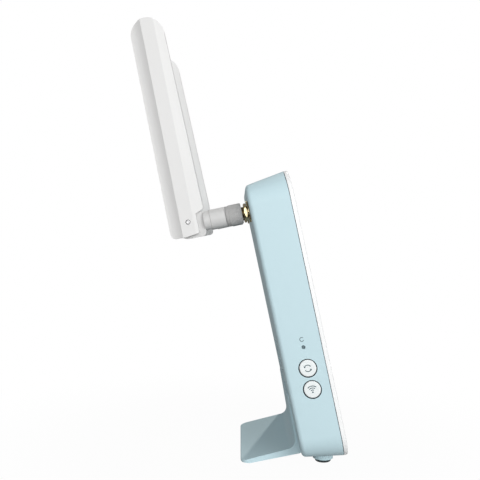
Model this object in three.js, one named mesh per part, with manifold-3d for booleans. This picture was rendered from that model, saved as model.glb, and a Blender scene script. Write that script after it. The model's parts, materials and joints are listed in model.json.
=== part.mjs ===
// Desktop wireless unit: a slim leaning case on a bent stand, with two folding paddle antennas.
// Millimetres, +Z up, the front faces -Y and the floor is z = 0.
//
// Most pieces are drawn in the case's own frame: x across, y backwards from the parting line
// between the front cover and the rear housing, z up the leaning case from its lower edge.
import * as THREE from 'three';
import { mergeVertices } from 'three/addons/utils/BufferGeometryUtils.js';
import Module from 'manifold-3d';

const wasm = await Module();
wasm.setup();

// ---------------------------------------------------------------- driving dimensions

const LEAN = THREE.MathUtils.degToRad(12);
const GAP = 0.3; // between neighbours that would touch
const CORNER_STEPS = 10; // facets in a quarter turn of the case's corners

const CASE = { width: 120, height: 150.4, depth: 20.9, corner: 15, taper: 3.3, wall: 2, edge: 2.5 };
const CASE_AT = { y: -54.15, z: 8.7 }; // the lower edge of the parting line
const TAPER_ANGLE = Math.atan(CASE.taper / CASE.depth);

const COVER = { thick: 2.45, seam: 0.35, edge: 0.8, lip: 1.6, lipDepth: 3 };
const STAND = { halfWidth: 34.5, top: 33.5, heel: 48.6, end: 53.5, seat: 1.3, corner: 4.5, fillet: 4.8 };
const FOOT = { x: 30, back: 8.2, bossRadius: 5.45, padRadius: 4.3, padHeight: 2.6, shows: 1.7 };

const CONTROLS_Y = 9; // the line of side controls, back from the parting line
const BUTTONS = { pair: 50.3, wireless: 39.4 };
const BUTTON = { hole: 4.7, cap: 4.3, flange: 5.2 };
const RESET = { z: 61.1, hole: 1 };

const BOARD = { halfWidth: 45, low: 8, high: 126, front: 4.4, back: 6 };
const CASE_SCREWS = [[-49, 12], [49, 12], [-24, 138], [24, 138]];
const BOARD_SCREWS = [[-38, 16], [38, 16], [-38, 118], [38, 118]];
const STAND_SCREWS = [-22, 22];
const STAND_SCREW_Z = 22;
const SOCKETS = { z: 50, ethernet: [-22, 0], power: 26 };
const LIGHTS = { z: 22, pitch: 8, count: 5, radius: 1.2 };
const VENTS = { top: 13, bottom: 9, pitch: 5, width: 2.2, front: 5.5, back: 15, reach: 7 };

const ANTENNA = { x: 42, jackZ: 133.7, pinY: 53.4, pinZ: 134.8 };
const KNUCKLE = { radius: 8.8, halfWidth: 2.1, shoulder: 8.1, top: 2.2, corner: 2.2 };
const SLEEVE = { neck: 4.9, radius: 5.2, neckEnd: 11.4, end: 19.6, spigot: 2.6, flange: 3.2 };
const NUT = { radius: 5.5, near: 20, far: 28.4, bore: 3.5, back: 1.1, collar: 5.05, collarEnd: 21.5 };
const JACK = { thread: 3.15, end: 29.6, bore: 2.2, boreDepth: 5, flange: 5, flangeDepth: 2 };
const HEX = { acrossFlats: 8.2, thick: 1.7, washerRadius: 5.6, washerThick: 1, teeth: 14 };
const CONTACT = { radius: 0.45, from: 26.4, to: 32 };
const PIN_RADIUS = 1.15;
const BLADE = {
  rise: 109, drop: 7.5, // above and below the pin
  rear: 10.5, front: 9.2, // from the pin to the two edges, at the pin
  narrow: 0.0102, // what each edge loses per millimetre of height
  cove: 6.5, flat: 6.9, // widths of the hollow strip and of the middle facet
  rim: 3.2, middle: 5.5, bevel: 1.7, thinning: 0.0125, // half thicknesses
  earFront: 4.7, earDrop: 6.7, earCorner: 1.1, heelCorner: 3, // the fork's lower end
  notch: 3.5, notchSlope: 0.43, slotTop: 9.4,
};

// ---------------------------------------------------------------- materials

function material(color, roughness, metalness = 0) {
  return new THREE.MeshStandardMaterial({ color, roughness, metalness });
}
const MATERIALS = {
  blue: material(0xcbe4eb, 0.55),
  white: material(0xf6f8f8, 0.25),
  cap: material(0xf2f5f6, 0.35),
  antenna: material(0xebebeb, 0.5),
  swivel: material(0xdbdddc, 0.5),
  nut: material(0xb4b4b3, 0.6),
  gold: material(0xd8b25c, 0.25, 1),
  steel: material(0xb9bcc0, 0.3, 1),
  rubber: material(0x353d3f, 0.9),
  board: material(0x2c6b45, 0.6),
  shield: material(0xc4c7ca, 0.35, 1),
  heatsink: material(0xaeb3b8, 0.4, 1),
  socket: material(0x2d3134, 0.5),
  pad: material(0x8f9aa6, 0.9),
  sleeve: material(0x26303a, 0.5),
  lead: material(0x2a2b2e, 0.5),
  light: material(0xe6eef0, 0.2),
};

// ---------------------------------------------------------------- solids

// Merges a geometry's corners, drops collapsed triangles and turns its faces outwards.
function closed(geometry) {
  const bare = geometry.clone();
  bare.deleteAttribute('normal');
  bare.deleteAttribute('uv');
  const merged = mergeVertices(bare, 1e-4);
  const place = merged.attributes.position;
  const faces = [];
  const [a, b, c] = [new THREE.Vector3(), new THREE.Vector3(), new THREE.Vector3()];
  let volume = 0;
  for (let i = 0; i < merged.index.count; i += 3) {
    const [p, q, r] = [0, 1, 2].map((k) => merged.index.getX(i + k));
    if (p === q || q === r || r === p) continue;
    faces.push([p, q, r]);
    volume += a.fromBufferAttribute(place, p)
      .dot(b.fromBufferAttribute(place, q).cross(c.fromBufferAttribute(place, r)));
  }
  merged.setIndex(faces.flatMap((face) => (volume < 0 ? face.reverse() : face)));
  return merged;
}

function solid(geometry) {
  const body = closed(geometry);
  return new wasm.Manifold(new wasm.Mesh({
    numProp: 3,
    vertProperties: new Float32Array(body.attributes.position.array),
    triVerts: new Uint32Array(body.index.array),
  }));
}

function unsolid(body) {
  const { vertProperties, triVerts } = body.getMesh();
  const geometry = new THREE.BufferGeometry();
  geometry.setAttribute('position', new THREE.BufferAttribute(vertProperties, 3));
  geometry.setIndex([...triVerts]);
  return geometry;
}

const joined = (geometries) => geometries.map(solid).reduce((all, next) => all.add(next));
const cut = (body, tools) => tools.map(solid).reduce((left, tool) => left.subtract(tool), body);

// A body through rings of points, ring after ring, with both ends closed to their middles.
function loft(rings) {
  const count = rings[0].length;
  const points = rings.flat();
  const index = [];
  for (let ring = 0; ring + 1 < rings.length; ring++) {
    for (let i = 0; i < count; i++) {
      const here = ring * count + i;
      const next = ring * count + (i + 1) % count;
      index.push(here, next, next + count, here, next + count, here + count);
    }
  }
  for (const [first, ring] of [[0, rings[0]], [points.length - count, rings.at(-1)]]) {
    const middle = ring.reduce((sum, p) => sum.clone().add(p)).clone().divideScalar(count);
    points.push(middle);
    for (let i = 0; i < count; i++) {
      const edge = [first + i, first + (i + 1) % count];
      if (first === 0) edge.reverse();
      index.push(...edge, points.length - 1);
    }
  }
  return new THREE.BufferGeometry().setFromPoints(points).setIndex(index);
}

// Points round a rectangle with round corners, centred on (x, z).
function roundedRect(width, height, radius, { x = 0, z = 0, steps = 4 } = {}) {
  const points = [];
  for (let corner = 0; corner < 4; corner++) {
    const left = corner === 1 || corner === 2;
    const middleX = x + (left ? -1 : 1) * (width / 2 - radius);
    const middleZ = z + (corner < 2 ? 1 : -1) * (height / 2 - radius);
    for (let i = 0; i <= steps; i++) {
      const angle = (corner + i / steps) * Math.PI / 2;
      points.push(new THREE.Vector2(
        middleX + radius * Math.cos(angle), middleZ + radius * Math.sin(angle)));
    }
  }
  return points;
}

// Points of an arc about (x, y), from one angle to another in degrees.
function arc(x, y, radius, from, to, steps = 6) {
  return Array.from({ length: steps + 1 }, (_, i) => {
    const angle = THREE.MathUtils.degToRad(from + (to - from) * i / steps);
    return new THREE.Vector2(x + radius * Math.cos(angle), y + radius * Math.sin(angle));
  });
}

const AXIS = {
  x: new THREE.Vector3(1, 0, 0), y: new THREE.Vector3(0, 1, 0), z: new THREE.Vector3(0, 0, 1),
};
const slabOf = (points, depth) => new THREE.ExtrudeGeometry(
  new THREE.Shape(points), { depth, bevelEnabled: false, steps: 1 });

// An outline drawn in y and z, made solid from one x to another.
const slabX = (points, from, to) => slabOf(points, to - from).translate(0, 0, from)
  .applyMatrix4(new THREE.Matrix4().makeBasis(AXIS.y, AXIS.z, AXIS.x));

// An outline drawn in x and z, made solid from one y to another.
const slabY = (points, from, to) => slabOf(points, to - from).translate(0, 0, -to)
  .applyMatrix4(new THREE.Matrix4().makeBasis(AXIS.x, AXIS.z, AXIS.y.clone().negate()));

// An outline drawn in x and y, made solid from one z to another.
const slabZ = (points, from, to) => slabOf(points, to - from).translate(0, 0, from);

function rod(radius, from, to, axis = 'y', segments = 24) {
  const body = new THREE.CylinderGeometry(radius, radius, to - from, segments);
  body.translate(0, (from + to) / 2, 0);
  if (axis === 'x') body.rotateZ(-Math.PI / 2);
  if (axis === 'z') body.rotateX(Math.PI / 2);
  return body;
}

function block(x, y, z) {
  const [size, middle] = [(span) => span[1] - span[0], (span) => (span[0] + span[1]) / 2];
  return new THREE.BoxGeometry(size(x), size(y), size(z)).translate(middle(x), middle(y), middle(z));
}

// Turned about y: pairs of radius and y. A profile that leaves the axis closes on itself.
const turned = (profile, segments = 28) => new THREE.LatheGeometry(
  profile.map(([radius, y]) => new THREE.Vector2(radius, y)), segments);
const turnedRing = (profile, segments) => turned([...profile, profile[0]], segments);

// ---------------------------------------------------------------- scene

const unit = new THREE.Group();
const leaning = new THREE.Group();
leaning.position.set(0, CASE_AT.y, CASE_AT.z);
leaning.rotation.x = -LEAN;
unit.add(leaning);

function add(name, shape, finish, parent = leaning) {
  const geometry = shape instanceof THREE.BufferGeometry ? closed(shape) : unsolid(shape);
  const mesh = new THREE.Mesh(geometry, MATERIALS[finish]);
  mesh.name = name;
  parent.add(mesh);
  return mesh;
}

// ---------------------------------------------------------------- case

// The case's outline, drawn in by an inset, at a depth behind the parting line.
const caseRing = (inset, y, steps = CORNER_STEPS) => roundedRect(
  CASE.width - 2 * inset, CASE.height - 2 * inset, CASE.corner - inset, { z: CASE.height / 2, steps },
).map((p) => new THREE.Vector3(p.x, y, p.y));

// Rings of a tapering shell, set in from the case's outside by its wall, with a round rear edge.
function taperedRings(start, end, inset, edge, steps, cornerSteps) {
  const middleY = end - edge;
  const middleInset = inset + middleY * Math.tan(TAPER_ANGLE) + edge / Math.cos(TAPER_ANGLE);
  const rings = [caseRing(inset + start * Math.tan(TAPER_ANGLE), start, cornerSteps)];
  for (let i = 0; i <= steps; i++) {
    const angle = TAPER_ANGLE + (Math.PI / 2 - TAPER_ANGLE) * i / steps;
    rings.push(caseRing(
      middleInset - edge * Math.cos(angle), middleY + edge * Math.sin(angle), cornerSteps));
  }
  return rings;
}

// Carries a shape drawn about the case's +x direction to the left wall, square to its taper.
const onLeftWall = (geometry, z) => geometry.rotateZ(-TAPER_ANGLE)
  .translate(-CASE.width / 2 + CONTROLS_Y * Math.tan(TAPER_ANGLE), CONTROLS_Y, z);

// Carries a shape that stands on the floor, on the z axis, to a foot's place in the case's frame.
function atFoot(geometry, x) {
  const [sin, cos] = [Math.sin(LEAN), Math.cos(LEAN)];
  return geometry.rotateX(LEAN).translate(
    x, FOOT.back * cos + CASE_AT.z * sin, FOOT.back * sin - CASE_AT.z * cos);
}

const POST = { radius: 4, front: 13.3, seat: 15.3, head: 3.1, hole: 1.8 };
const PILLAR = { radius: 3.2, top: 13, bore: 1.65, boreEnd: 4.5 };

function rearHousing() {
  const back = CASE.depth;
  const inner = back - CASE.wall;
  const thick = 1.7; // how far the seat of the stand is thickened inside
  const shell = cut(
    joined([
      loft(taperedRings(0, back, 0, CASE.edge, 5)),
      ...[-FOOT.x, FOOT.x].map((x) => atFoot(rod(FOOT.bossRadius, FOOT.shows, 11, 'z', 32), x)),
    ]),
    [loft(taperedRings(-1, inner, CASE.wall, 1.2, 1, 4))],
  );
  const seat = STAND.halfWidth + GAP;
  const seatPad = block([-seat - 2, seat + 2], [inner - thick, inner + 1], [7, STAND.top + 4]);
  const posts = CASE_SCREWS.map(
    ([x, z]) => rod(POST.radius, POST.front, inner + 1, 'y', 20).translate(x, 0, z));
  const standBosses = STAND_SCREWS.map(
    (x) => rod(3.4, 11.5, inner + 1, 'y', 16).translate(x, 0, STAND_SCREW_Z));
  const grown = shell.add(joined([seatPad, ...posts, ...standBosses]));
  const ventRow = (count, z) => Array.from({ length: count }, (_, i) => slabZ(
    roundedRect(VENTS.width, VENTS.back - VENTS.front, VENTS.width / 2, {
      x: (i - (count - 1) / 2) * VENTS.pitch, z: (VENTS.front + VENTS.back) / 2, steps: 2 }),
    z - VENTS.reach, z + VENTS.reach,
  ));
  return cut(grown, [
    block([-seat, seat], [back - STAND.seat, back + 5], [-10, STAND.top + GAP]),
    ...CASE_SCREWS.flatMap(([x, z]) => [
      rod(POST.head, POST.seat, back + 1).translate(x, 0, z),
      rod(POST.hole, POST.front - 1, POST.seat + 1, 'y', 16).translate(x, 0, z),
    ]),
    ...STAND_SCREWS.map((x) => rod(1.65, 12.8, back, 'y', 16).translate(x, 0, STAND_SCREW_Z)),
    ...Object.values(BUTTONS).map((z) => onLeftWall(rod(BUTTON.hole, -3, 4, 'x', 40), z)),
    onLeftWall(rod(RESET.hole, -3, 4, 'x', 16), RESET.z),
    ...[-1, 1].map((side) => rod(3.4, inner - 1, back + 1).translate(side * ANTENNA.x, 0, ANTENNA.jackZ)),
    ...SOCKETS.ethernet.map((x) => slabY(
      roundedRect(16.8, 14.2, 0.6, { x, z: SOCKETS.z, steps: 2 }), inner - 3, back + 1)),
    rod(4.6, inner - 3, back + 1).translate(SOCKETS.power, 0, SOCKETS.z),
    ...ventRow(VENTS.top, CASE.height), ...ventRow(VENTS.bottom, 0),
    ...[-FOOT.x, FOOT.x].map(
      (x) => atFoot(rod(FOOT.padRadius + GAP, -1, FOOT.padHeight + GAP, 'z', 32), x)),
  ]);
}

function frontCover() {
  const edgeRings = Array.from({ length: 4 }, (_, i) => {
    const angle = (1 - i / 3) * Math.PI / 2;
    return caseRing(COVER.edge * (1 - Math.cos(angle)), -COVER.thick + COVER.edge * (1 - Math.sin(angle)));
  });
  const plate = loft([...edgeRings, caseRing(0, -COVER.seam)]);
  const lipInset = CASE.wall + 0.6;
  const lipTube = (inset, front, back) => solid(loft([caseRing(inset, front, 4), caseRing(inset, back, 4)]));
  const lip = lipTube(lipInset, -COVER.seam - 1, COVER.lipDepth)
    .subtract(lipTube(lipInset + COVER.lip, -COVER.seam, COVER.lipDepth + 1));
  const pillars = CASE_SCREWS.map(
    ([x, z]) => rod(PILLAR.radius, -COVER.seam - 1, PILLAR.top, 'y', 16).translate(x, 0, z));
  const boardPosts = BOARD_SCREWS.map(
    ([x, z]) => rod(2.6, -COVER.seam - 1, BOARD.front - GAP, 'y', 12).translate(x, 0, z));
  return cut(solid(plate).add(lip).add(joined([...pillars, ...boardPosts])), [
    ...CASE_SCREWS.map(([x, z]) => rod(PILLAR.bore, PILLAR.boreEnd, PILLAR.top + 1, 'y', 12)
      .translate(x, 0, z)),
    ...BOARD_SCREWS.map(([x, z]) => rod(1.15, 0.4, BOARD.front, 'y', 12).translate(x, 0, z)),
    ...lightPlaces().map((x) => rod(LIGHTS.radius + GAP, -4, 1, 'y', 16).translate(x, 0, LIGHTS.z)),
  ]);
}

const lightPlaces = () => Array.from(
  { length: LIGHTS.count }, (_, i) => (i - (LIGHTS.count - 1) / 2) * LIGHTS.pitch);

function lightGuide() {
  const half = LIGHTS.pitch * (LIGHTS.count - 1) / 2 + 2.5;
  return joined([
    block([-half, half], [GAP, 2.4], [LIGHTS.z - 2, LIGHTS.z + 2]),
    ...lightPlaces().map(
      (x) => rod(LIGHTS.radius, -COVER.thick + 0.1, 1, 'y', 16).translate(x, 0, LIGHTS.z)),
  ]);
}

// A screw along y whose head's underside is at y = seat and whose tip is at y = tip.
const screw = (radius, headRadius, headHeight, seat, tip, segments = 16) => cut(
  solid(turned([
    [0, seat + headHeight], [headRadius - 0.3, seat + headHeight], [headRadius, seat + headHeight - 0.4],
    [headRadius, seat], [radius, seat], [radius, tip + radius], [0.3, tip], [0, tip],
  ], segments)),
  [[2.2, 0.6], [0.6, 2.2]].map(([w, h]) => block(
    [-w * headRadius / 5, w * headRadius / 5], [seat + headHeight / 2, seat + headHeight + 1],
    [-h * headRadius / 5, h * headRadius / 5])),
);

add('rear_housing', rearHousing(), 'blue');
add('front_cover', frontCover(), 'white');
add('light_guide', lightGuide(), 'light');
CASE_SCREWS.forEach(([x, z], i) => {
  add(`case_screw_${i + 1}`, screw(1.4, 2.7, 1.9, POST.seat + GAP, 6), 'steel').position.set(x, 0, z);
});

// ---------------------------------------------------------------- stand and feet

// Height of the floor in the case's frame, so far behind the parting line.
const floorAt = (y) => (y * Math.sin(LEAN) - CASE_AT.z) / Math.cos(LEAN);

function standSolid() {
  const front = CASE.depth - STAND.seat + GAP;
  const plateTop = CASE.depth + 0.5;
  const plateFoot = CASE.depth + 1.4;
  const topAt = (y) => 3.65 + (50.4 - y) * 0.0377; // the base's upper side
  const bend = plateFoot + STAND.fillet;
  const profile = [
    [front, STAND.top], [plateTop, STAND.top], [plateFoot, topAt(bend) + STAND.fillet],
  ].map(([y, z]) => new THREE.Vector2(y, z));
  profile.push(...arc(bend, topAt(bend) + STAND.fillet, STAND.fillet, 180, 270, 8).slice(1));
  const round = 0.5;
  profile.push(...[
    [STAND.end - round, topAt(STAND.end - round)], [STAND.end, topAt(STAND.end) - round * 0.8],
    [STAND.end, floorAt(STAND.end) + round * 0.8], [STAND.end - round, floorAt(STAND.end - round)],
    [STAND.heel, floorAt(STAND.heel)], [CASE.depth + 0.3, 1.05], [front, 1.7],
  ].map(([y, z]) => new THREE.Vector2(y, z)));
  const bent = solid(slabX(profile, -STAND.halfWidth, STAND.halfWidth));
  const plan = roundedRect(2 * STAND.halfWidth, 2 * STAND.end, STAND.corner, { steps: 6 });
  const face = roundedRect(2 * STAND.halfWidth, 2 * STAND.top, 3, { steps: 4 });
  return cut(
    bent.intersect(solid(slabZ(plan, -5, 50))).intersect(solid(slabY(face, -5, 60))),
    STAND_SCREWS.flatMap((x) => [
      rod(1.75, 15, 25).translate(x, 0, STAND_SCREW_Z),
      turned([[0, 20.6], [1.75, 20.6], [3.2, 22], [3.2, 24], [0, 24]], 24).translate(x, 0, STAND_SCREW_Z),
    ]),
  );
}

// Countersunk, with its head just below the stand's plate.
const STAND_SCREW = { head: 2.35, shank: 1.35, top: 21.5, neck: 20.4, tip: 13.2 };
function standScrew() {
  const { head, shank, top, neck, tip } = STAND_SCREW;
  return turned([
    [0, top], [head, top], [head, top - 0.15], [shank, neck], [shank, tip + 1], [0.3, tip], [0, tip]], 20);
}

add('stand', standSolid(), 'blue');
STAND_SCREWS.forEach((x, i) => {
  add(`stand_screw_${i + 1}`, standScrew(), 'steel').position.set(x, 0, STAND_SCREW_Z);
});
[-FOOT.x, FOOT.x].forEach((x, i) => {
  const pad = turned([
    [0, 0], [FOOT.padRadius - 0.4, 0], [FOOT.padRadius, 0.4],
    [FOOT.padRadius, FOOT.padHeight], [0, FOOT.padHeight]]).rotateX(Math.PI / 2);
  add(`foot_pad_${i + 1}`, pad, 'rubber', unit).position.set(x, CASE_AT.y + FOOT.back, 0);
});

// ---------------------------------------------------------------- side controls

// Drawn about +x, the pressing direction, with the wall's outside at x = 0.
const SWITCH = { front: 6.6, back: 10.2, half: 3, plunger: 1.2 };

function buttonCap() {
  return turned([
    [0, -0.1], [3.4, -0.1], [BUTTON.cap - 0.25, -0.02], [BUTTON.cap, 0.25], [BUTTON.cap, 2.5],
    [BUTTON.flange, 2.5], [BUTTON.flange, 3.3], [1.6, 3.3], [1.6, 5.2], [0, 5.2]], 36)
    .rotateZ(-Math.PI / 2);
}
const switchBody = () => cut(
  solid(block([SWITCH.front, SWITCH.back], [-SWITCH.half, SWITCH.half], [-SWITCH.half, SWITCH.half])),
  [rod(SWITCH.plunger + 0.3, SWITCH.front - 1, SWITCH.front + 2.2, 'x', 16)],
);
const plunger = (from) => rod(SWITCH.plunger, from, SWITCH.front + 1.4, 'x', 16);

for (const [name, z] of Object.entries(BUTTONS)) {
  add(`${name}_button`, onLeftWall(buttonCap(), z), 'cap');
  add(`${name}_plunger`, onLeftWall(plunger(5.5), z), 'socket');
  add(`${name}_switch`, onLeftWall(unsolid(switchBody()), z), 'socket');
}
add('reset_plunger', onLeftWall(plunger(4.2), RESET.z), 'socket');
add('reset_switch', onLeftWall(unsolid(switchBody()), RESET.z), 'socket');
const middleZ = (RESET.z + BUTTONS.wireless) / 2;
add('button_board', onLeftWall(
  block([SWITCH.back + GAP, SWITCH.back + GAP + 1.2], [-4.2, 6], [-17, 17]), middleZ), 'board');

// ---------------------------------------------------------------- inside the case

function mainBoard() {
  const outline = roundedRect(
    2 * BOARD.halfWidth, BOARD.high - BOARD.low, 3, { z: (BOARD.high + BOARD.low) / 2 });
  return cut(solid(slabY(outline, BOARD.front, BOARD.back)), BOARD_SCREWS.map(
    ([x, z]) => rod(1.4, BOARD.front - 1, BOARD.back + 1, 'y', 16).translate(x, 0, z)));
}
add('main_board', mainBoard(), 'board');
BOARD_SCREWS.forEach(([x, z], i) => {
  add(`board_screw_${i + 1}`, screw(0.95, 2.2, 1.3, BOARD.back + GAP, 0.8, 12), 'steel')
    .position.set(x, 0, z);
});

// A pressed tin lid with round corners.
const shieldCan = (width, height) => slabY(
  roundedRect(width, height, 1.5, { steps: 2 }), BOARD.back + GAP, BOARD.back + GAP + 3);
const CANS = [[-19, 92, 32, 34], [19, 96, 28, 26]];
CANS.forEach(([x, z, width, height], i) => {
  add(`shield_can_${i + 1}`, shieldCan(width, height), 'shield').position.set(x, 0, z);
});

const PAD = { front: 9.6, back: 11.1 };
add('thermal_pad', block([-31, -7], [PAD.front, PAD.back], [80, 104]), 'pad');

// A finned plate that lies over the cans, drawn as a comb and made solid up the case.
function heatSpreader() {
  const [front, base, back, pitch, fin] = [PAD.back + GAP, 13, 17.4, 6, 1.4];
  const comb = [[-36, front], [36, front]];
  for (let x = 36; x > -36; x -= pitch) {
    comb.push([x, back], [x - fin, back], [x - fin, base]);
    if (x - pitch > -36) comb.push([x - pitch, base]);
  }
  comb.push([-36, base]);
  return slabZ(comb.map(([x, y]) => new THREE.Vector2(x, y)), 74, 111);
}
add('heat_spreader', heatSpreader(), 'heatsink');

function ethernetSocket() {
  const [front, back] = [BOARD.back + GAP, CASE.depth - GAP];
  return cut(solid(block([-8.1, 8.1], [front, back], [-6.8, 6.8])), [
    block([-5.95, 5.95], [back - 11.5, back + 1], [-3.6, 4]),
    block([-3, 3], [back - 8, back + 1], [-5.6, -3.4]),
  ]);
}
SOCKETS.ethernet.forEach((x, i) => {
  add(`ethernet_socket_${i + 1}`, ethernetSocket(), 'socket').position.set(x, 0, SOCKETS.z);
});

function powerInlet() {
  const [front, back] = [BOARD.back + GAP, CASE.depth - GAP];
  const body = cut(
    joined([block([-4.6, 4.6], [front, 18.4], [-5.5, 5.5]), rod(4.3, 18, back)]),
    [rod(3.2, back - 9.5, back + 1)],
  );
  return body.add(solid(rod(1, back - 10, back - 1.2, 'y', 16)));
}
add('power_inlet', powerInlet(), 'socket').position.set(SOCKETS.power, 0, SOCKETS.z);

[52, 63].forEach((z, i) => {
  const [front, back] = [BOARD.back + GAP, 15.4];
  const can = turned([[0, front], [4, front], [4, back - 0.4], [3.6, back], [0, back]], 20);
  add(`capacitor_${i + 1}`, can, 'sleeve').position.set(39, 0, z);
});

// ---------------------------------------------------------------- antennas

// A blade's section at a height above the pin: hollow strip, middle facet and sloping facet,
// the same on both faces. Drawn about the pin.
function bladeRing(height) {
  const rear = BLADE.rear - height * BLADE.narrow;
  const front = -BLADE.front + height * BLADE.narrow;
  const [rim, middle] = [BLADE.rim, BLADE.middle].map((half) => half - height * BLADE.thinning);
  const crease = rear - BLADE.cove;
  const steps = 6;
  const side = [];
  for (let i = 0; i <= steps; i++) {
    const share = i / steps;
    side.push([rim + (middle - rim) * share ** 2, rear - BLADE.cove * share]);
  }
  side.push([middle, crease - BLADE.flat], [middle - BLADE.bevel, front]);
  const mirrored = [...side].reverse().map(([x, y]) => [-x, y]);
  return [...side, ...mirrored].map(([x, y]) => new THREE.Vector3(x, y, height));
}

// The blade seen from its side, with the notch that clears the neck, drawn about the pin. Its
// long sides lie outside the stock, so that the stock's own edges stay.
function bladeOutline() {
  const { rise, drop, rear, front, narrow, earFront, earDrop, notch, earCorner, heelCorner } = BLADE;
  const tip = ((rear + front) / 2 - rise * narrow) / (1 - narrow);
  const middle = (rear - front) / 2;
  const [outside, start] = [0.4, rise - tip - 0.5];
  const notchAt = (y) => notch + (y - earFront) * BLADE.notchSlope;
  const outline = [
    ...arc(rear - heelCorner, -drop + heelCorner, heelCorner, -80, 0, 5),
    [rear + outside, -drop + heelCorner + outside], [middle + tip + outside, start],
    ...arc(middle, rise - tip, tip, 0, 180, 22),
    [middle - tip - outside, start], [-front - outside, notchAt(front) + 1.6],
    [-front + 0.2, notchAt(front) + 0.5], [-front + 0.9, notchAt(front - 0.9)], [-earFront, notch],
    ...arc(-earFront + earCorner, -earDrop + earCorner, earCorner, 180, 270, 4), [2.5, -drop],
  ];
  return outline.map((p) => (Array.isArray(p) ? new THREE.Vector2(...p) : p));
}

function blade() {
  const stock = solid(loft([bladeRing(-20), bladeRing(BLADE.rise + 5)]));
  const shaped = stock.intersect(solid(slabX(bladeOutline(), -10, 10)));
  const slot = KNUCKLE.halfWidth + 0.25;
  return cut(shaped, [
    block([-slot, slot], [-20, KNUCKLE.radius + GAP], [-20, BLADE.slotTop]),
    block([-1.6, 1.6], [-6, 6.4], [BLADE.slotTop + 4, 104]),
    rod(1.3, BLADE.slotTop - 1, BLADE.slotTop + 6, 'z', 12),
    rod(PIN_RADIUS + 0.15, -10, 10, 'x', 20),
  ]);
}

// Knuckle, neck and sleeve in one, drawn about the pin, with the spigot that holds the nut.
function swivel() {
  const { radius, halfWidth, shoulder, top, corner } = KNUCKLE;
  const drop = ANTENNA.jackZ - ANTENNA.pinZ;
  const tail = ANTENNA.pinY - JACK.end - GAP;
  const barrel = turned([
    [0, -shoulder], [SLEEVE.neck, -shoulder], [SLEEVE.neck, -SLEEVE.neckEnd],
    [SLEEVE.radius, -SLEEVE.neckEnd - 0.3], [SLEEVE.radius, -SLEEVE.end], [SLEEVE.spigot, -SLEEVE.end],
    [SLEEVE.spigot, -tail + 1], [SLEEVE.flange, -tail + 1], [SLEEVE.flange, -tail], [0, -tail],
  ], 32).translate(0, 0, drop);
  const key = block([-halfWidth, halfWidth], [-shoulder - 1, -2], [-radius / 2, top - 0.5]);
  const elbow = [
    ...arc(-shoulder + corner, -radius + corner, corner, 180, 270, 5), new THREE.Vector2(0, -radius),
    new THREE.Vector2(0, top), new THREE.Vector2(-shoulder, top)];
  return cut(
    joined([
      barrel, key, slabX(elbow, -halfWidth, halfWidth),
      rod(radius, -halfWidth, halfWidth, 'x', 48)]),
    [
      rod(PIN_RADIUS + 0.15, -10, 10, 'x', 20),
      rod(0.7, -tail - 1, -tail + 6, 'y', 10).translate(0, 0, drop),
    ],
  );
}

function couplingNut() {
  const [near, far] = [-NUT.near, -NUT.far];
  return turnedRing([
    [NUT.bore, far], [NUT.radius - 0.5, far], [NUT.radius, far + 0.5],
    [NUT.radius, -NUT.collarEnd - 0.3], [NUT.collar, -NUT.collarEnd], [NUT.collar, near - 0.25],
    [NUT.collar - 0.25, near], [2.9, near], [2.9, near - NUT.back], [NUT.bore, near - NUT.back],
  ], 32);
}

function jack() {
  const inner = CASE.depth - CASE.wall - GAP;
  return turned([
    [0, 12.6], [2, 12.6], [2, inner - JACK.flangeDepth], [JACK.flange, inner - JACK.flangeDepth],
    [JACK.flange, inner], [JACK.thread, inner], [JACK.thread, JACK.end - 0.4],
    [JACK.thread - 0.35, JACK.end], [JACK.bore, JACK.end], [JACK.bore, JACK.end - JACK.boreDepth],
    [0, JACK.end - JACK.boreDepth],
  ]);
}

// A six-sided nut with a bore that clears the jack's thread.
function hexNut() {
  const back = CASE.depth + HEX.washerThick + 0.2;
  const corner = HEX.acrossFlats / 2 / Math.cos(Math.PI / 6);
  return cut(solid(rod(corner, back, back + HEX.thick, 'y', 6)), [rod(3.4, 0, 40, 'y', 32)]);
}

// A flat ring with teeth round its outside.
function toothedWasher() {
  const corners = HEX.teeth * 4;
  const outline = Array.from({ length: corners }, (_, i) => {
    const radius = i % 4 < 2 ? HEX.washerRadius : HEX.washerRadius - 0.7;
    const angle = 2 * Math.PI * i / corners;
    return new THREE.Vector2(radius * Math.cos(angle), radius * Math.sin(angle));
  });
  const front = CASE.depth + 0.05;
  return cut(solid(slabY(outline, front, front + HEX.washerThick)), [rod(3.5, 0, 40, 'y', 32)]);
}

// Thin coaxial lead from the back of a jack down to the board, round eight sides.
function pigtail(side) {
  const route = new THREE.CatmullRomCurve3([
    [ANTENNA.x, 12.3, ANTENNA.jackZ], [ANTENNA.x, 10.4, ANTENNA.jackZ - 0.6],
    [ANTENNA.x - 1, 8.2, ANTENNA.jackZ - 5], [37, 7.6, 122.5], [30, 7.2, 116],
  ].map(([x, y, z]) => new THREE.Vector3(side * x, y, z)));
  const section = new THREE.Shape(arc(0, 0, 0.65, 0, 315, 7));
  return new THREE.ExtrudeGeometry(section, { extrudePath: route, steps: 14, bevelEnabled: false });
}

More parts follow.
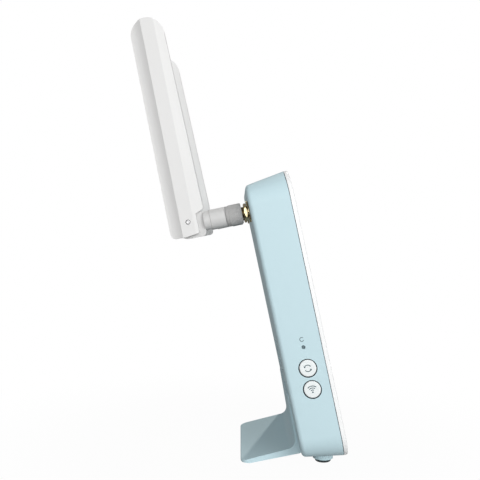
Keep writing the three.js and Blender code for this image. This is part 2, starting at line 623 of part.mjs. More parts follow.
for (const [name, side] of [['left', -1], ['right', 1]]) {
  const atJack = new THREE.Group();
  atJack.position.set(side * ANTENNA.x, 0, ANTENNA.jackZ);
  const atPin = new THREE.Group();
  atPin.position.set(side * ANTENNA.x, ANTENNA.pinY, ANTENNA.pinZ);
  leaning.add(atJack, atPin);

  add(`${name}_jack`, jack(), 'gold', atJack);
  add(`${name}_jack_washer`, toothedWasher(), 'gold', atJack);
  add(`${name}_jack_nut`, hexNut(), 'gold', atJack);
  add(`${name}_pigtail`, pigtail(side), 'lead');
  add(`${name}_coupling_nut`, couplingNut(), 'nut', atJack).position.y = ANTENNA.pinY;
  add(`${name}_contact`, rod(CONTACT.radius, CONTACT.from, CONTACT.to, 'y', 10), 'gold', atJack);
  add(`${name}_swivel`, swivel(), 'swivel', atPin);
  add(`${name}_hinge_pin`, rod(PIN_RADIUS, -5.45, 5.45, 'x', 20), 'steel', atPin);
  add(`${name}_blade`, blade(), 'antenna', atPin);
  add(`${name}_radiator`, block([-0.4, 0.4], [-5.4, 5.8], [BLADE.slotTop + 5, 102]), 'board', atPin);
}

export default unit;
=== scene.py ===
"""Looks of a desktop wireless unit: leaning case, bent stand and two folding antennas."""
import json
import math

import bmesh
import bpy
from mathutils import Matrix, Vector


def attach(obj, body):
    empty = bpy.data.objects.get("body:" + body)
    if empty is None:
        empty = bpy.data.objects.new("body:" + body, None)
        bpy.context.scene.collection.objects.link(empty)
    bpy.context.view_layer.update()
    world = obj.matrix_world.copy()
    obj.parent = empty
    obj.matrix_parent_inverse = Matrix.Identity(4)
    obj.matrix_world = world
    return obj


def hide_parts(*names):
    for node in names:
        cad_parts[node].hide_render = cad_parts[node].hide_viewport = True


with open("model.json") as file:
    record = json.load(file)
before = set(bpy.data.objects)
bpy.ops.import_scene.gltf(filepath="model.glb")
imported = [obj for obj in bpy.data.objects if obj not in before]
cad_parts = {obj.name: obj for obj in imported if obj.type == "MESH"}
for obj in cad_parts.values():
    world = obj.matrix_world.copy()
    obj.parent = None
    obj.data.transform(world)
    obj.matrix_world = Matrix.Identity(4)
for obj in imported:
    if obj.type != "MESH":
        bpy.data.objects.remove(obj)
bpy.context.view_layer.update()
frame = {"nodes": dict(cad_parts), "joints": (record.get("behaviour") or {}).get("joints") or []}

bl_info = {
    "name": "Desktop wireless unit",
    "version": (1, 0, 0),
    "blender": (4, 5, 0),
    "location": "View3D > Sidebar > Wireless",
    "description": "Finishes and fine pieces of a leaning wireless unit with two antennas",
    "category": "Add Mesh",
}

NODES = frame["nodes"]
JOINTS = {joint["name"]: joint for joint in frame["joints"]}
MM = 0.001
SIDES = ("left", "right")

# The case's own directions: across it, backwards square to its back, and up its slope.
ACROSS = Vector((1, 0, 0))
BACK = Vector(JOINTS["right_swivel_turn"]["axis"])
UP = ACROSS.cross(BACK)
PRESS = Vector(JOINTS["pair_press"]["axis"])


# ---------------------------------------------------------------- measuring the frame

def reach(node, way):
    """How far a CAD node's corners lie along a direction: lowest and highest, in metres."""
    spans = [vertex.co.dot(way) for vertex in NODES[node].data.vertices]
    return min(spans), max(spans)


def middle(node, way):
    """Halfway along a CAD node's reach in a direction."""
    return sum(reach(node, way)) / 2


def span(node, way):
    """A CAD node's reach along a direction, in millimetres."""
    return tuple(value / MM for value in reach(node, way))


def half_size(node, way):
    """Half of a CAD node's size along a direction, in millimetres."""
    low, high = span(node, way)
    return (high - low) / 2


# ---------------------------------------------------------------- shader groups

def new_group(name, numbers, outputs):
    """An empty shader group with named number inputs and their defaults, and number outputs."""
    group = bpy.data.node_groups.new(name, "ShaderNodeTree")
    for label, default in numbers.items():
        socket = group.interface.new_socket(label, in_out="INPUT", socket_type="NodeSocketFloat")
        socket.default_value = default
    for label in outputs:
        group.interface.new_socket(label, in_out="OUTPUT", socket_type="NodeSocketFloat")
    return group, group.nodes.new("NodeGroupInput"), group.nodes.new("NodeGroupOutput")


def math_node(tree, operation, *values):
    """A Math node fed by sockets or plain numbers; gives its output socket."""
    node = tree.nodes.new("ShaderNodeMath")
    node.operation = operation
    for slot, value in zip(node.inputs, values):
        if isinstance(value, bpy.types.NodeSocket):
            tree.links.new(value, slot)
        else:
            slot.default_value = value
    return node.outputs[0]


def noise(tree, scale, detail=2.0, roughness=0.5, stretch=None):
    """Solid noise in the piece's own space, between 0 and 1; gives its output socket."""
    place = tree.nodes.new("ShaderNodeTexCoord").outputs["Object"]
    if stretch:
        mapping = tree.nodes.new("ShaderNodeMapping")
        mapping.inputs["Scale"].default_value = stretch
        tree.links.new(place, mapping.inputs["Vector"])
        place = mapping.outputs["Vector"]
    node = tree.nodes.new("ShaderNodeTexNoise")
    node.inputs["Detail"].default_value = detail
    node.inputs["Roughness"].default_value = roughness
    tree.links.new(place, node.inputs["Vector"])
    if isinstance(scale, bpy.types.NodeSocket):
        tree.links.new(scale, node.inputs["Scale"])
    else:
        node.inputs["Scale"].default_value = scale
    return node.outputs["Fac"]


def grain_group():
    """The even, pitted texture that an etched mould leaves on plastic."""
    group, given, result = new_group(
        "Moulding grain", {"Size mm": 0.3, "Depth": 0.5}, ("Height", "Pits"))
    scale = math_node(group, "DIVIDE", 1000.0, given.outputs["Size mm"])
    fine = noise(group, scale, detail=3.0, roughness=0.6)
    cells = group.nodes.new("ShaderNodeTexVoronoi")
    group.links.new(group.nodes.new("ShaderNodeTexCoord").outputs["Object"], cells.inputs["Vector"])
    group.links.new(scale, cells.inputs["Scale"])
    both = math_node(group, "MULTIPLY_ADD", cells.outputs["Distance"], 0.6, fine)
    height = math_node(group, "MULTIPLY", both, given.outputs["Depth"])
    group.links.new(height, result.inputs["Height"])
    group.links.new(fine, result.inputs["Pits"])
    return group


def handling_group():
    """Broad, soft unevenness: thin smears from handling and slow drifts of the moulding's tone."""
    group, given, result = new_group(
        "Handling", {"Smear": 0.1, "Drift": 0.05}, ("Roughness change", "Tone"))
    smear = noise(group, 38.0, detail=4.0, roughness=0.62, stretch=(1.0, 0.6, 1.7))
    drift = noise(group, 9.0, detail=1.0)
    for value, amount, out in (
        (smear, given.outputs["Smear"], "Roughness change"),
        (drift, given.outputs["Drift"], "Tone"),
    ):
        centred = math_node(group, "SUBTRACT", value, 0.5)
        group.links.new(math_node(group, "MULTIPLY", centred, amount), result.inputs[out])
    return group


def edge_wear_and_highlight_group():
    """A mask of the outer edges: there plastic is rubbed smooth, and a lighter colour paints the
    highlight of thin walls that catch the light.
    """
    group, given, result = new_group("Edge rubbing and painted highlight", {"Width mm": 0.6, "Amount": 0.5}, ("Mask",))
    inside = group.nodes.new("ShaderNodeAmbientOcclusion")
    inside.inside = True
    inside.only_local = True
    inside.samples = 6
    group.links.new(
        math_node(group, "MULTIPLY", given.outputs["Width mm"], MM), inside.inputs["Distance"])
    open_air = math_node(group, "SUBTRACT", 1.0, inside.outputs["AO"])
    sharp = math_node(group, "POWER", open_air, 2.0)
    mask = math_node(group, "MULTIPLY", sharp, given.outputs["Amount"])
    group.links.new(mask, result.inputs["Mask"])
    return group


GROUPS = {}


def placed(tree, builder, **numbers):
    """A shader group, built once, placed in a material with its own numbers."""
    if builder not in GROUPS:
        GROUPS[builder] = builder()
    node = tree.nodes.new("ShaderNodeGroup")
    node.node_tree = GROUPS[builder]
    for label, value in numbers.items():
        node.inputs[label.replace("_", " ")].default_value = value
    return node


# ---------------------------------------------------------------- materials

def blank_material(name):
    """A node material with only a Principled shader; gives the material and the shader."""
    material = bpy.data.materials.new(name)
    material.use_nodes = True
    shader = next(n for n in material.node_tree.nodes if n.type == "BSDF_PRINCIPLED")
    return material, shader


def mixed(tree, share, first, second):
    """A colour between two, by a socket's share."""
    node = tree.nodes.new("ShaderNodeMix")
    node.data_type = "RGBA"
    tree.links.new(share, node.inputs["Factor"])
    # A Mix node has sockets for numbers and vectors before those for colours.
    colour_a, colour_b, colour_out = node.inputs[6], node.inputs[7], node.outputs[2]
    for slot, colour in ((colour_a, first), (colour_b, second)):
        if isinstance(colour, bpy.types.NodeSocket):
            tree.links.new(colour, slot)
        else:
            slot.default_value = (*colour[:3], 1)
    return colour_out


def shaded(colour, factor):
    """A colour made lighter or darker."""
    return tuple(min(1.0, part * factor) for part in colour[:3])


def relief(tree, shader, height, depth, strength=1.0):
    """Gives a shader small relief from a height socket; depth is in millimetres."""
    bump = tree.nodes.new("ShaderNodeBump")
    bump.inputs["Distance"].default_value = depth * MM
    bump.inputs["Strength"].default_value = strength
    tree.links.new(height, bump.inputs["Height"])
    tree.links.new(bump.outputs["Normal"], shader.inputs["Normal"])


def moulded_plastic(name, colour, roughness, grain=(0.3, 0.35), smear=0.1, edge=0.5):
    """Injection-moulded plastic: mould grain, tone drift, smears, smoother rubbed edges and a
    painted highlight that makes the edges lighter.
    """
    material, shader = blank_material(name)
    tree = material.node_tree
    handling = placed(tree, handling_group, Smear=smear, Drift=0.5)
    etched = placed(tree, grain_group, Size_mm=grain[0], Depth=grain[1])
    edge_wear_and_painted_highlight = placed(tree, edge_wear_and_highlight_group, Width_mm=0.7, Amount=edge)
    tone = math_node(tree, "ADD", handling.outputs["Tone"], 0.5)
    pitted = math_node(tree, "MULTIPLY_ADD", etched.outputs["Pits"], 0.25, tone)
    share = math_node(tree, "SUBTRACT", pitted, 0.125)
    body = mixed(tree, share, shaded(colour, 0.97), shaded(colour, 1.03))
    # Painted highlight: the edge mask lightens the colour where edges catch the light; the
    # roughness drop below is the real rubbing.
    tree.links.new(
        mixed(tree, edge_wear_and_painted_highlight.outputs["Mask"], body, shaded(colour, 1.12)), shader.inputs["Base Color"])
    uneven = math_node(tree, "ADD", handling.outputs["Roughness change"], roughness)
    rubbed = math_node(tree, "MULTIPLY_ADD", edge_wear_and_painted_highlight.outputs["Mask"], -0.15, uneven)
    tree.links.new(rubbed, shader.inputs["Roughness"])
    relief(tree, shader, etched.outputs["Height"], 0.02, strength=0.6)
    return material


def metal(name, colour, roughness, brushed=None, mottle=0.15, dull=0.72):
    """Bare or plated metal with fine tool marks and darker random mottles that dull its colour."""
    material, shader = blank_material(name)
    tree = material.node_tree
    shader.inputs["Metallic"].default_value = 1.0
    handling = placed(tree, handling_group, Smear=0.25, Drift=1.0)
    marks = noise(tree, 1500.0, detail=3.0, stretch=brushed or (1.0, 1.0, 1.0))
    share = math_node(tree, "MULTIPLY_ADD", marks, mottle, handling.outputs["Tone"])
    share = math_node(tree, "ADD", share, 0.3)
    tree.links.new(mixed(tree, share, colour, shaded(colour, dull)), shader.inputs["Base Color"])
    rough = math_node(tree, "MULTIPLY_ADD", marks, 0.18, handling.outputs["Roughness change"])
    tree.links.new(math_node(tree, "ADD", rough, roughness - 0.09), shader.inputs["Roughness"])
    relief(tree, shader, marks, 0.006)
    return material


def soft_rubber(name, colour, roughness=0.85):
    """Matt rubber with a dry bloom and fine pits."""
    material, shader = blank_material(name)
    tree = material.node_tree
    handling = placed(tree, handling_group, Smear=0.2, Drift=1.0)
    etched = placed(tree, grain_group, Size_mm=0.25, Depth=0.6)
    share = math_node(tree, "MULTIPLY_ADD", etched.outputs["Pits"], 0.5, handling.outputs["Tone"])
    tree.links.new(mixed(tree, share, colour, shaded(colour, 1.8)), shader.inputs["Base Color"])
    uneven = math_node(tree, "ADD", handling.outputs["Roughness change"], roughness)
    tree.links.new(uneven, shader.inputs["Roughness"])
    relief(tree, shader, etched.outputs["Height"], 0.03)
    return material


def circuit_laminate(name, mask, copper):
    """Green solder mask over copper tracks that run in right-angled lanes."""
    material, shader = blank_material(name)
    tree = material.node_tree
    lanes = tree.nodes.new("ShaderNodeTexBrick")
    lanes.inputs["Scale"].default_value = 260.0
    lanes.inputs["Mortar Size"].default_value = 0.03
    lanes.inputs["Color1"].default_value = (0, 0, 0, 1)
    lanes.inputs["Color2"].default_value = (0.15, 0.15, 0.15, 1)
    lanes.inputs["Mortar"].default_value = (1, 1, 1, 1)
    turn = tree.nodes.new("ShaderNodeMapping")
    turn.inputs["Rotation"].default_value = (math.radians(90), 0, 0)
    place = tree.nodes.new("ShaderNodeTexCoord").outputs["Object"]
    tree.links.new(place, turn.inputs["Vector"])
    tree.links.new(turn.outputs["Vector"], lanes.inputs["Vector"])
    patch = math_node(tree, "GREATER_THAN", noise(tree, 90.0, detail=1.0), 0.52)
    track = math_node(tree, "MULTIPLY", lanes.outputs["Color"], patch)
    tree.links.new(mixed(tree, track, mask, copper), shader.inputs["Base Color"])
    tree.links.new(math_node(tree, "MULTIPLY_ADD", track, -0.1, 0.42), shader.inputs["Roughness"])
    relief(tree, shader, track, 0.03)
    shader.inputs["Coat Weight"].default_value = 0.4
    return material


MATERIALS = {}


def finish_of(name):
    """One of the object's finishes by name, made when first asked for."""
    if name not in MATERIALS:
        look = bpy.context.scene.wireless_look
        blue, white, paddle = look.housing_colour[:], look.cover_colour[:], look.antenna_colour[:]
        makers = {
            "pale blue case": lambda n: moulded_plastic(n, blue, 0.5, smear=0.06),
            "gloss white cover": lambda n: moulded_plastic(
                n, white, 0.2, (0.9, 0.06), smear=0.08),
            "white key": lambda n: moulded_plastic(
                n, (0.93, 0.985, 1.0), 0.34, (0.5, 0.1), smear=0.12),
            # Near-black rubber for the rings in the key gaps: painted shade standing in for the
            # shade in the gaps.
            "gap shade rubber": lambda n: soft_rubber(n, (0.008, 0.018, 0.024), 0.7),
            # The reset key is a darker copy of the case blue: painted shade standing in for the
            # shade inside the reset hole.
            "reset key in painted shade": lambda n: moulded_plastic(n, shaded(blue, 0.3), 0.6, edge=0.1),
            "printed sign": lambda n: moulded_plastic(
                n, (0.10, 0.16, 0.18), 0.6, (0.2, 0.2), edge=0),
            "clear guide": lambda n: moulded_plastic(
                n, (0.72, 0.86, 0.88), 0.12, (1.0, 0.05), edge=0.1),
            "antenna white": lambda n: moulded_plastic(n, paddle, 0.46, (0.3, 0.3), smear=0.08),
            "elbow grey": lambda n: moulded_plastic(n, shaded(paddle, 0.85), 0.5, (0.35, 0.5)),
            "knurled grey": lambda n: moulded_plastic(n, shaded(paddle, 0.59), 0.55, (0.3, 0.5)),
            # Strong darker mottles on the gold plate: painted shade standing in for the fine light
            # and shade of its thread and teeth.
            "gold plate": lambda n: metal(n, (0.9, 0.75, 0.46), 0.25, mottle=0.8, dull=0.42),
            "satin steel": lambda n: metal(n, (0.86, 0.86, 0.87), 0.5),
            "zinc steel": lambda n: metal(n, (0.62, 0.63, 0.65), 0.32, brushed=(1.0, 8.0, 1.0)),
            "tinned sheet": lambda n: metal(n, (0.66, 0.67, 0.68), 0.36, brushed=(6.0, 1.0, 1.0)),
            "extruded aluminium": lambda n: metal(
                n, (0.70, 0.71, 0.72), 0.4, brushed=(1.0, 1.0, 0.1)),
            "foot rubber": lambda n: soft_rubber(n, (0.032, 0.042, 0.045)),
            "gap silicone": lambda n: soft_rubber(n, (0.25, 0.30, 0.36), 0.6),
            "black moulding": lambda n: moulded_plastic(n, (0.022, 0.024, 0.027), 0.45, edge=0.8),
            "shrink sleeve": lambda n: moulded_plastic(n, (0.018, 0.022, 0.05), 0.22, (0.8, 0.1)),
            "lead jacket": lambda n: moulded_plastic(n, (0.02, 0.02, 0.022), 0.35, (0.2, 0.3)),
            "solder mask": lambda n: circuit_laminate(n, (0.012, 0.11, 0.045), (0.05, 0.30, 0.10)),
        }
        MATERIALS[name] = makers[name](name)
    return MATERIALS[name]


def clothe(thing, finish):
    """Puts one finish on a piece or a CAD node."""
    thing.data.materials.clear()
    thing.data.materials.append(finish_of(finish))
    return thing


# ---------------------------------------------------------------- making and refining pieces

def refine(node, finish, angle=30.0, bevel=0.15, segments=2, merge_flats=True):
    """Keeps a CAD node's shape, softens its sharp edges and smooths its round stretches.

    Merging flats tears a wall that has a long row of slots, so such a node goes without it.
    """
    thing = clothe(NODES[node], finish)
    thing.data.shade_smooth()
    joined = thing.modifiers.new("Join faces", "WELD")
    joined.merge_threshold = 0.0005 * MM
    if merge_flats:
        flat = thing.modifiers.new("Merge flats", "DECIMATE")
        flat.decimate_type = "DISSOLVE"
        flat.angle_limit = math.radians(0.6)
    if bevel:
        soft = thing.modifiers.new("Soft edges", "BEVEL")
        soft.width = bevel * MM
        soft.segments = segments
        soft.limit_method = "ANGLE"
        soft.angle_limit = math.radians(angle)
        soft.miter_outer = "MITER_ARC"
        weighted = thing.modifiers.new("Flat faces stay flat", "WEIGHTED_NORMAL")
        weighted.mode = "FACE_AREA_WITH_ANGLE"
        weighted.weight = 80
    else:
        thing.data.set_sharp_from_angle(angle=math.radians(angle))
    return thing


def piece(name, shape, body, finish, smooth_below=35.0):
    """Turns a bmesh, already in the row frame, into a finished piece that rides on a body."""
    bmesh.ops.recalc_face_normals(shape, faces=shape.faces)
    data = bpy.data.meshes.new(name)
    shape.to_mesh(data)
    shape.free()
    data.shade_smooth()
    data.set_sharp_from_angle(angle=math.radians(smooth_below))
    thing = bpy.data.objects.new(name, data)
    bpy.context.scene.collection.objects.link(thing)
    clothe(thing, finish)
    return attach(thing, body)


def axes_at(origin, along, aside):
    """A matrix that stands local z along one direction and local x near another, at a place."""
    z = along.normalized()
    y = z.cross(aside).normalized()
    return Matrix.Translation(origin) @ Matrix((y.cross(z), y, z)).transposed().to_4x4()


def skin(shape, rings, closed=True):
    """Faces between rings of points; each ring has the same count and closes on itself."""
    made = [[shape.verts.new(point) for point in ring] for ring in rings]
    pairs = list(zip(made, made[1:] + made[:1])) if closed else list(zip(made, made[1:]))
    for here, there in pairs:
        for i in range(len(here)):
            j = (i + 1) % len(here)
            shape.faces.new((here[i], here[j], there[j], there[i]))
    return made


def capped(shape, rings):
    """Faces between rings of points, and one face at each end."""
    made = skin(shape, rings, closed=False)
    shape.faces.new(made[0])
    shape.faces.new(made[-1])


def ring_of(radius, height, count):
    """Points round the z axis; the radius may be a number or a function of the angle."""
    points = []
    for i in range(count):
        angle = 2 * math.pi * i / count
        r = radius(angle) if callable(radius) else radius
        points.append(Vector((r * math.cos(angle), r * math.sin(angle), height)) * MM)
    return points


def turned(profile, count):
    """Rings for a profile of radii and heights, in millimetres."""
    return [ring_of(radius, height, count) for radius, height in profile]


def stand_at(shape, origin, along, aside):
    """Moves a shape that was drawn about z to a place in the row frame."""
    bmesh.ops.transform(shape, matrix=axes_at(origin, along, aside), verts=shape.verts)


# ---------------------------------------------------------------- properties

class WirelessLook(bpy.types.PropertyGroup):
    """Colours and fine sizes that a user may change."""
    housing_colour: bpy.props.FloatVectorProperty(
        name="Housing", description="Colour of the rear housing and the stand",
        subtype="COLOR", size=3, min=0, max=1, default=(0.61, 0.80, 0.86))
    cover_colour: bpy.props.FloatVectorProperty(
        name="Cover", description="Colour of the front cover and the keys",
        subtype="COLOR", size=3, min=0, max=1, default=(0.97, 0.985, 0.99))
    antenna_colour: bpy.props.FloatVectorProperty(
        name="Antennas", description="Colour of the antenna blades",
        subtype="COLOR", size=3, min=0, max=1, default=(0.77, 0.77, 0.765))
    edge_softness: bpy.props.FloatProperty(
        name="Edge softness", description="Radius of the moulded edges",
        unit="LENGTH", default=0.25 * MM, min=0, max=0.6 * MM)
    sign_stroke: bpy.props.FloatProperty(
        name="Sign stroke", description="Width of the lines in the printed signs",
        unit="LENGTH", default=0.42 * MM, min=0.1 * MM, max=1 * MM)
    knurl_depth: bpy.props.FloatProperty(
        name="Knurl depth", description="Depth of the coupling nuts' knurling",
        unit="LENGTH", default=0.34 * MM, min=0, max=0.5 * MM)
    knurl_count: bpy.props.IntProperty(
        name="Knurl count", description="Ridges round a coupling nut", default=32, min=12, max=60)


class WirelessStage(bpy.types.PropertyGroup):
    """Light and view."""
    key_power: bpy.props.FloatProperty(
        name="Key light", description="Power of the soft light on the control side",
        unit="POWER", default=36.5, min=0)
    fill_power: bpy.props.FloatProperty(
        name="Fill light", description="Power of the broad light from behind the eye",
        unit="POWER", default=8.8, min=0)
    sun_strength: bpy.props.FloatProperty(
        name="Far light", description="Strength of the harder light from the far front",
        default=0.68, min=0)
    ambient: bpy.props.FloatProperty(
        name="Ambient", description="Brightness of the light from all round", default=0.30, min=0)
    view_distance: bpy.props.FloatProperty(
        name="View distance", description="From the middle of the object to the eye",
        unit="LENGTH", default=393.0 * MM, min=0.1)
    eye_height: bpy.props.FloatProperty(
        name="Eye height", description="Height of the eye above the floor",
        unit="LENGTH", default=125.9 * MM, min=0)
    lens_rise: bpy.props.FloatProperty(
        name="Lens rise", description="Vertical lens shift that frames the object", default=-0.0229)
    focal_length: bpy.props.FloatProperty(
        name="Focal length", description="Lens length on a 36 mm wide sensor",
        unit="CAMERA", default=50.0, min=10)


# ---------------------------------------------------------------- case

class WIRELESS_OT_case(bpy.types.Operator):
    """Finish the rear housing, the front cover, the stand and their screws"""
    bl_idname = "wireless.case"
    bl_label = "Case"

    def execute(self, context):
        soft = context.scene.wireless_look.edge_softness / MM
        refine("rear_housing", "pale blue case", bevel=soft * 0.6, merge_flats=False)
        refine("front_cover", "gloss white cover", bevel=soft)
        refine("stand", "pale blue case", bevel=soft)
        refine("light_guide", "clear guide", bevel=0.1)
        for node in NODES:
            if "screw" in node:
                refine(node, "zinc steel", bevel=0.08)
        return {"FINISHED"}


class WIRELESS_OT_feet(bpy.types.Operator):
    """Finish the rubber pads under the feet"""
    bl_idname = "wireless.feet"
    bl_label = "Feet"

    def execute(self, context):
        for number in (1, 2):
            refine(f"foot_pad_{number}", "foot rubber", bevel=0.15)
        return {"FINISHED"}


# ---------------------------------------------------------------- side keys and their signs

def arc_points(radius, start, end, steps):
    """Points of an arc about the origin, from one angle to another in degrees."""
    angles = [math.radians(start + (end - start) * i / steps) for i in range(steps + 1)]
    return [(radius * math.cos(a), radius * math.sin(a)) for a in angles]


def stroke_arc(radius, start, end, width, steps=20):
    """The outline of an arc-shaped stroke."""
    outer = arc_points(radius + width / 2, start, end, steps)
    inner = arc_points(radius - width / 2, end, start, steps)
    return outer + inner


def arrow_head(radius, angle, size, turn):
    """A triangle on an arc, pointing round it; turn is 1 anticlockwise or -1 clockwise."""
    a = math.radians(angle)
    out, on = Vector((math.cos(a), math.sin(a))), Vector((-math.sin(a), math.cos(a))) * turn
    at = out * radius
    return [tuple(at + out * size), tuple(at + on * size * 1.25), tuple(at - out * size)]


def sign(name, outlines, origin, normal, body):
    """A printed sign: flat outlines in millimetres, a hair proud of a face, riding on a body."""
    curve = bpy.data.curves.new(name, "CURVE")
    curve.dimensions = "2D"
    curve.fill_mode = "BOTH"
    curve.extrude = 0.03 * MM
    for outline in outlines:
        spline = curve.splines.new("POLY")
        spline.points.add(len(outline) - 1)
        for point, (x, y) in zip(spline.points, outline):
            point.co = (x * MM, y * MM, 0, 1)
        spline.use_cyclic_u = True
    made = bpy.data.objects.new(name, curve)
    bpy.context.scene.collection.objects.link(made)
    # x runs towards the front of the case when the signs are read from their own side
    made.matrix_world = axes_at(origin + normal * 0.02 * MM, normal, -BACK)
    bpy.context.view_layer.update()
    evaluated = made.evaluated_get(bpy.context.evaluated_depsgraph_get())
    data = bpy.data.meshes.new_from_object(evaluated)
    data.transform(made.matrix_world)
    bpy.data.objects.remove(made)
    solid = bpy.data.objects.new(name, data)
    bpy.context.scene.collection.objects.link(solid)
    clothe(solid, "printed sign")
    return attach(solid, body)


def key_face(node):
    """The middle of a key's outer face, and the way it faces."""
    aside = PRESS.cross(UP).normalized()
    centre = (
        PRESS * reach(node, PRESS)[0] + UP * middle(node, UP) + aside * middle(node, aside))
    return centre, -PRESS


class WIRELESS_OT_keys(bpy.types.Operator):
    """Finish the two push keys, ring them with dark rings of painted shade in their gaps and print
    their signs
    """
    bl_idname = "wireless.keys"
    bl_label = "Side keys"

    def execute(self, context):
        stroke = context.scene.wireless_look.sign_stroke / MM
        for key, outlines in (("pair", self.arrows(stroke)), ("wireless", self.radio_arcs(stroke))):
            node = f"{key}_button"
            refine(node, "white key", bevel=0.12)
            refine(f"{key}_plunger", "black moulding", bevel=0.1)
            face, way = key_face(node)
            sign(f"{key}_sign", outlines, face, way, f"{key}_key")
            self.gap_shade_ring(key, face, way)
        self.reset_mark(stroke)
        return {"FINISHED"}

    def arrows(self, stroke):
        """Two arrows that chase each other round a circle."""
        radius, sweep = 1.65, 118
        outlines = []
        for start in (25, 205):
            outlines.append(stroke_arc(radius, start, start + sweep, stroke))
            outlines.append(arrow_head(radius, start + sweep, stroke * 1.45, 1))
        return outlines

    def radio_arcs(self, stroke):
        """Three arcs over a dot, moved down so that the sign sits in the middle of its key."""
        dot, drop = 0.42, 1.35
        outlines = [stroke_arc(radius, 48, 132, stroke, 12) for radius in (1.15, 2.15, 3.15)]
        outlines.append(arc_points(dot, 0, 340, 16))
        return [[(x, y - drop) for x, y in outline] for outline in outlines]

    def gap_shade_ring(self, key, face, way):
        """A dark ring that fills the gap between a key and the wall, with a thin lip; its
        near-black colour is painted shade for the gap.
        """
        bore, outside, lip, deep = 4.36, 4.66, 4.8, -1.9
        profile = (
            (bore, -0.2), (bore + 0.06, -0.13), (outside - 0.04, -0.07), (lip - 0.04, -0.06),
            (lip, -0.12), (outside, -0.16), (outside, deep), (bore, deep))
        shape = bmesh.new()
        skin(shape, turned(profile, 72))
        stand_at(shape, face, way, UP)
        piece(f"{key}_gap_shade_ring", shape, "case", "gap shade rubber")

    def reset_mark(self, stroke):
        """An open ring with an arrow above the reset hole, and the hole's own plunger, coloured as
        the case blue in painted shade.
        """
        above_hole, proud = 4.0 * MM, 0.1 * MM
        outlines = [stroke_arc(1.0, 60, 330, stroke * 0.75), arrow_head(1.0, 60, stroke, -1)]
        hole, way = key_face("reset_plunger")
        key, _ = key_face("pair_button")
        wall = hole + way * ((key - hole).dot(way) - proud)
        sign("reset_sign", outlines, wall + UP * above_hole, way, "case")
        tip, foot, axis = 0.85, 1.2, 0.02
        profile = (
            (axis, -0.9), (tip - 0.25, -0.9), (tip, -1.1), (tip, -4.4), (foot, -4.4), (foot, -7),
            (axis, -7))
        shape = bmesh.new()
        skin(shape, turned(profile, 32))
        stand_at(shape, wall, way, UP)
        made = piece("reset_key_plunger", shape, "reset_key", "reset key in painted shade")
        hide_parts("reset_plunger")


# ---------------------------------------------------------------- jacks and coupling nuts

def jack_axis(side):
    """A point on a jack's axis, at the case's back, in the row frame."""
    return Vector(JOINTS[f"{side}_nut_spin"]["pos_m"])


def along_jack(side, distance):
    """The point of a jack's axis that lies so far along BACK from the row's origin."""
    start = jack_axis(side)
    return start + BACK * (distance - start.dot(BACK))


